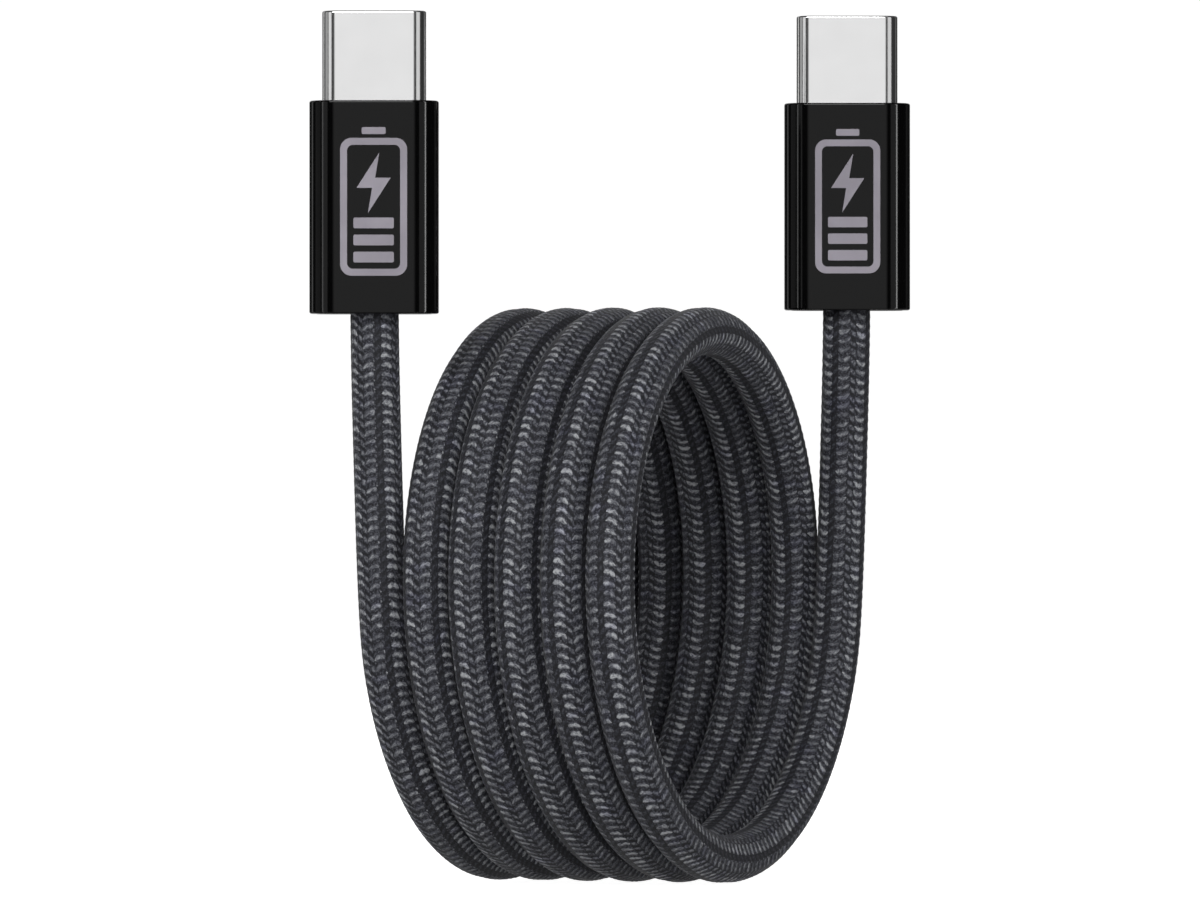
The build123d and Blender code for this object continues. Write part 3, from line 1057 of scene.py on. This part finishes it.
@dataclass
class Plug:
    """One plug: its shell, housing and printed mark, and the finish of the pieces inside."""

    letter: str
    shell_wall: float = 0.25 * MM
    shell_corner: float = 1.12 * MM
    shell_lip: float = 0.18 * MM
    shell_inner_lip: float = 0.04 * MM
    shell_segments: int = 14
    lip_segments: int = 5
    inner_lip_segments: int = 2
    housing_corner: float = 2.2 * MM
    housing_wall: float = 0.60 * MM
    housing_front_wall: float = 0.80 * MM
    housing_edge: float = 0.18 * MM
    housing_segments: int = 24
    cavity_segments: int = 12
    edge_segments: int = 4
    opening_gap: float = 0.02 * MM
    mark_width: float = 5.3 * MM
    mark_height: float = 10.9 * MM
    mark_line: float = 0.55 * MM
    mark_proud: float = 0.02 * MM
    mark_corner: float = 0.9 * MM
    mark_inner_corner: float = 0.45 * MM
    cap_half: float = 0.95 * MM
    cap_gap: float = 0.30 * MM
    cap_top: float = 0.85 * MM
    ink_corner: float = 0.12 * MM
    outline_segments: int = 8
    inside_segments: int = 6
    ink_segments: int = 3
    cutter_thickness: float = 4.0
    bolt_rise: float = 1.9 * MM
    bolt_corners: tuple[Pair, ...] = (
        (0.45, 2.4), (-1.35, -0.4), (-0.12, -0.4), (-0.45, -2.4), (1.35, 0.4), (0.12, 0.4)
    )
    bar_count: int = 3
    bar_height: float = 0.85 * MM
    bar_gap: float = 0.50 * MM
    finishes: dict[str, str] = field(
        default_factory=lambda: {
            "contact_carrier": "carrier_plastic",
            "upper_contacts": "contact_gold",
            "lower_contacts": "contact_gold",
            "mid_plate": "spring_steel",
            "upper_ground_spring": "spring_steel",
            "lower_ground_spring": "spring_steel",
            "left_latch": "spring_steel",
            "right_latch": "spring_steel",
            "circuit_card": "card_resin",
            "marker_chip": "chip_plastic",
            "power_core": "power_jacket",
            "ground_core": "ground_jacket",
            "signal_cores": "signal_jacket",
            "upper_shield_can": "can_steel",
            "lower_shield_can": "can_steel",
            "cord_crimp": "crimp_brass",
            "inner_mould": "mould_plastic",
        }
    )

    def node(self, name: str) -> str:
        """The CAD node's full name in this plug."""
        return f"plug_{self.letter}_{name}"

    def build_shell(self, steel: Material) -> None:
        """Make the drawn metal shell: a thin oval tube with a rolled lip.

        Args:
            steel: its material.
        """
        low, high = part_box(self.node("shell"))
        piece = oval_block(self.node("drawn_shell"), low, high, self.shell_corner, self.shell_segments)
        bpy.ops.object.mode_set(mode="EDIT")
        bpy.ops.mesh.select_mode(type="FACE")
        bpy.ops.mesh.select_all(action="DESELECT")
        shape = bmesh.from_edit_mesh(piece.data)
        for face in shape.faces:
            face.select = abs(face.normal.z) > 0.9
        bmesh.update_edit_mesh(piece.data)
        bpy.ops.mesh.delete(type="FACE")
        bpy.ops.object.mode_set(mode="OBJECT")
        thick = piece.modifiers.new("wall", "SOLIDIFY")
        thick.thickness = self.shell_wall
        thick.offset = -1.0
        thick.use_even_offset = True
        bpy.ops.object.modifier_apply(modifier=thick.name)
        at_mouth = level_at(high.z)

        def on_outside(point: Vector) -> bool:
            """Whether a point of the lip is on the shell's outer face."""
            return self.depth_in_shell(point, low, high) < self.shell_wall / 2

        round_edges(piece, lambda a, b: at_mouth(a, b) and on_outside(a), self.shell_lip, self.lip_segments)
        inner = self.shell_inner_lip
        round_edges(piece, lambda a, b: at_mouth(a, b) and not on_outside(a), inner, self.inner_lip_segments)
        self.finish_piece(piece, steel)
        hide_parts(self.node("shell"))

    def depth_in_shell(self, point: Vector, low: Vector, high: Vector) -> float:
        """How far a point is inside the shell's outer face.

        Args:
            point: the point.
            low: the shell's lowest corner.
            high: the shell's highest corner.

        Returns:
            The depth, in metres, seen along Z.
        """
        centre, half = (low + high) / 2, (high - low) / 2
        over_x = abs(point.x - centre.x) - (half.x - self.shell_corner)
        over_y = abs(point.y - centre.y) - (half.y - self.shell_corner)
        reach = math.hypot(max(over_x, 0.0), max(over_y, 0.0)) + min(max(over_x, over_y), 0.0)
        return self.shell_corner - reach

    def build_housing(self, gloss: Material) -> None:
        """Make the gloss housing: a rounded sleeve with the shell's opening in its front wall.

        Args:
            gloss: its material.
        """
        low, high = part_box(self.node("housing"))
        corner = self.housing_corner
        piece = oval_block(self.node("gloss_housing"), low, high, corner, self.housing_segments)
        rims = [level_at(high.z), level_at(low.z)]
        edge = self.housing_edge
        round_edges(piece, lambda a, b: any(rim(a, b) for rim in rims), edge, self.edge_segments)
        wall = Vector((self.housing_wall, self.housing_wall, 0.0))
        cavity = oval_block(
            "cavity",
            low + wall - Vector((0.0, 0.0, MM)),
            high - wall - Vector((0.0, 0.0, self.housing_front_wall)),
            corner - self.housing_wall,
            self.cavity_segments,
        )
        cut_away(piece, cavity)
        shell_low, shell_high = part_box(self.node("shell"))
        gap = Vector((self.opening_gap, self.opening_gap, 0.0))
        around = self.shell_corner + self.opening_gap
        opening = oval_block("opening", shell_low - gap, shell_high + gap, around, self.shell_segments)
        cut_away(piece, opening)
        self.finish_piece(piece, gloss)
        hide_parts(self.node("housing"))

    def build_mark(self, ink: Material) -> None:
        """Print a generic battery pictogram on the broad face that looks along -Y.

        Args:
            ink: its material.
        """
        low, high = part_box(self.node("housing"))
        centre = Vector(((low.x + high.x) / 2, low.y, (low.z + high.z) / 2))
        half, tall = self.mark_width / 2, self.mark_height / 2
        piece = self.slab("battery_outline", centre, (-half, half), (-tall, tall))
        round_edges(piece, self.across, self.mark_corner, self.outline_segments)
        inner_half, inner_tall = half - self.mark_line, tall - self.mark_line
        sides, ends = (-inner_half, inner_half), (-inner_tall, inner_tall)
        inside = self.slab("inside", centre, sides, ends, self.cutter_thickness)
        round_edges(inside, self.across, self.mark_inner_corner, self.inside_segments)
        cut_away(piece, inside)
        cap_ends = (tall + self.cap_gap, tall + self.cap_top)
        cap = self.slab("cap", centre, (-self.cap_half, self.cap_half), cap_ends)
        round_edges(cap, self.across, self.ink_corner, self.ink_segments)
        bar_half = inner_half - self.bar_gap
        bars = []
        for index in range(self.bar_count):
            foot = self.bar_gap - inner_tall + index * (self.bar_height + self.bar_gap)
            bar = self.slab("bar", centre, (-bar_half, bar_half), (foot, foot + self.bar_height))
            round_edges(bar, self.across, self.ink_corner, self.ink_segments)
            bars.append(bar)
        bolt = self.bolt(centre + Vector((0.0, 0.0, self.bolt_rise)))
        clear_selection()
        for part in (piece, cap, *bars, bolt):
            part.select_set(True)
        bpy.context.view_layer.objects.active = piece
        bpy.ops.object.join()
        piece.name = piece.data.name = self.node("battery_mark")
        self.finish_piece(piece, ink)

    @staticmethod
    def across(first: Vector, second: Vector) -> bool:
        """Whether an edge runs along Y."""
        return max(abs(first.x - second.x), abs(first.z - second.z)) < SAME_PLACE

    def slab(
        self,
        name: str,
        centre: Vector,
        wide: tuple[float, float],
        tall: tuple[float, float],
        thicker: float = 1.0,
    ) -> Piece:
        """Make a thin slab of ink on the broad face.

        Args:
            name: the slab's name.
            centre: the middle of the face.
            wide: its low and high side, from the centre.
            tall: its low and high end, from the centre.
            thicker: how many times thicker than the ink it is, both ways.

        Returns:
            The slab, selected and active.
        """
        proud = self.mark_proud * thicker
        sunk = 0.0 if thicker == 1.0 else proud
        low = centre + Vector((wide[0], -proud, tall[0]))
        high = centre + Vector((wide[1], sunk, tall[1]))
        return add_block(name, low, high)

    def bolt(self, centre: Vector) -> Piece:
        """Make a lightning bolt of ink: a six-cornered face pulled to its outline, then extruded.

        Args:
            centre: the bolt's middle.

        Returns:
            The bolt.
        """
        corners = self.bolt_corners
        clear_selection()
        bpy.ops.mesh.primitive_circle_add(vertices=len(corners), radius=MM, fill_type="NGON")
        piece = bpy.context.active_object
        for corner, (x, z) in zip(piece.data.vertices, corners):
            corner.co = centre + Vector((x * MM, 0.0, z * MM))
        bpy.ops.object.mode_set(mode="EDIT")
        bpy.ops.mesh.select_all(action="SELECT")
        bpy.ops.mesh.extrude_region_move(TRANSFORM_OT_translate={"value": (0.0, -self.mark_proud, 0.0)})
        bpy.ops.mesh.select_all(action="SELECT")
        bpy.ops.mesh.normals_make_consistent(inside=False)
        bpy.ops.object.mode_set(mode="OBJECT")
        return piece

    def finish_piece(self, piece: Piece, material: Material) -> None:
        """Smooth, paint and mount one new piece.

        Args:
            piece: the finished mesh piece.
            material: what it is made of.
        """
        clear_selection()
        piece.select_set(True)
        bpy.context.view_layer.objects.active = piece
        bpy.ops.object.shade_smooth_by_angle(angle=SHARP_ANGLE)
        even = piece.modifiers.new("even_shading", "WEIGHTED_NORMAL")
        even.weight = 100
        even.keep_sharp = True
        bpy.ops.object.modifier_apply(modifier=even.name)
        piece.data.materials.clear()
        piece.data.materials.append(material)
        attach(piece, BODY)
        LOG.info("%s, %d faces", piece.name, len(piece.data.polygons))

    def dress_cad(self, materials: dict[str, Material]) -> None:
        """Give each CAD piece inside the plug its finish.

        Args:
            materials: every finish by name.
        """
        for name, finish in self.finishes.items():
            piece = frame["nodes"][self.node(name)]
            piece.data.materials.clear()
            piece.data.materials.append(materials[finish])

    def build(self, materials: dict[str, Material]) -> None:
        """Make the plug's new pieces and dress the rest.

        Args:
            materials: every finish by name.
        """
        self.build_shell(materials["shell_steel"])
        self.build_housing(materials["housing_gloss"])
        self.build_mark(materials["print_ink"])
        self.dress_cad(materials)


def make_materials() -> dict[str, Material]:
    """Make every finish on the cable.

    Returns:
        The materials by name.
    """
    kinds = [
        Metal("shell_steel", (0.92, 0.92, 0.922), 0.14, 0.165, line_depth=1e-7),
        Metal("spring_steel", (0.72, 0.72, 0.71), 0.22, 0.34),
        Metal("can_steel", (0.66, 0.66, 0.65), 0.30, 0.42),
        Metal("contact_gold", (0.90, 0.64, 0.27), 0.16, 0.26),
        Metal("crimp_brass", (0.70, 0.58, 0.33), 0.28, 0.40),
        Plastic("housing_gloss", (0.0011, 0.0011, 0.0012), 0.07, 0.11, ior=1.327, grain_depth=3e-7),
        Plastic("carrier_plastic", (0.012, 0.012, 0.013), 0.42, 0.55),
        Plastic("mould_plastic", (0.010, 0.010, 0.011), 0.50, 0.65),
        Plastic("card_resin", (0.012, 0.090, 0.040), 0.28, 0.38),
        Plastic("chip_plastic", (0.015, 0.015, 0.016), 0.45, 0.60),
        Plastic("power_jacket", (0.42, 0.02, 0.02), 0.35, 0.45),
        Plastic("ground_jacket", (0.015, 0.015, 0.015), 0.35, 0.45),
        Plastic("signal_jacket", (0.62, 0.62, 0.58), 0.35, 0.45),
        Plastic("print_ink", (0.275, 0.255, 0.295), 0.40, 0.50, grain_depth=1e-6),
    ]
    return {kind.name: kind.make() for kind in kinds} | {"braid": Braid(Weave()).make()}


def main() -> None:
    """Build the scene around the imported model."""
    logging.basicConfig(level=logging.INFO, format="%(name)s: %(message)s")
    studio = Studio()
    studio.place_camera()
    materials = make_materials()
    Cord().build(materials["braid"])
    for letter in ("a", "b"):
        Plug(letter).build(materials)
        LOG.info("plug %s dressed", letter)
    studio.lay_floor()
    studio.light()
    studio.surround()


if __name__ == "__main__":
    main()
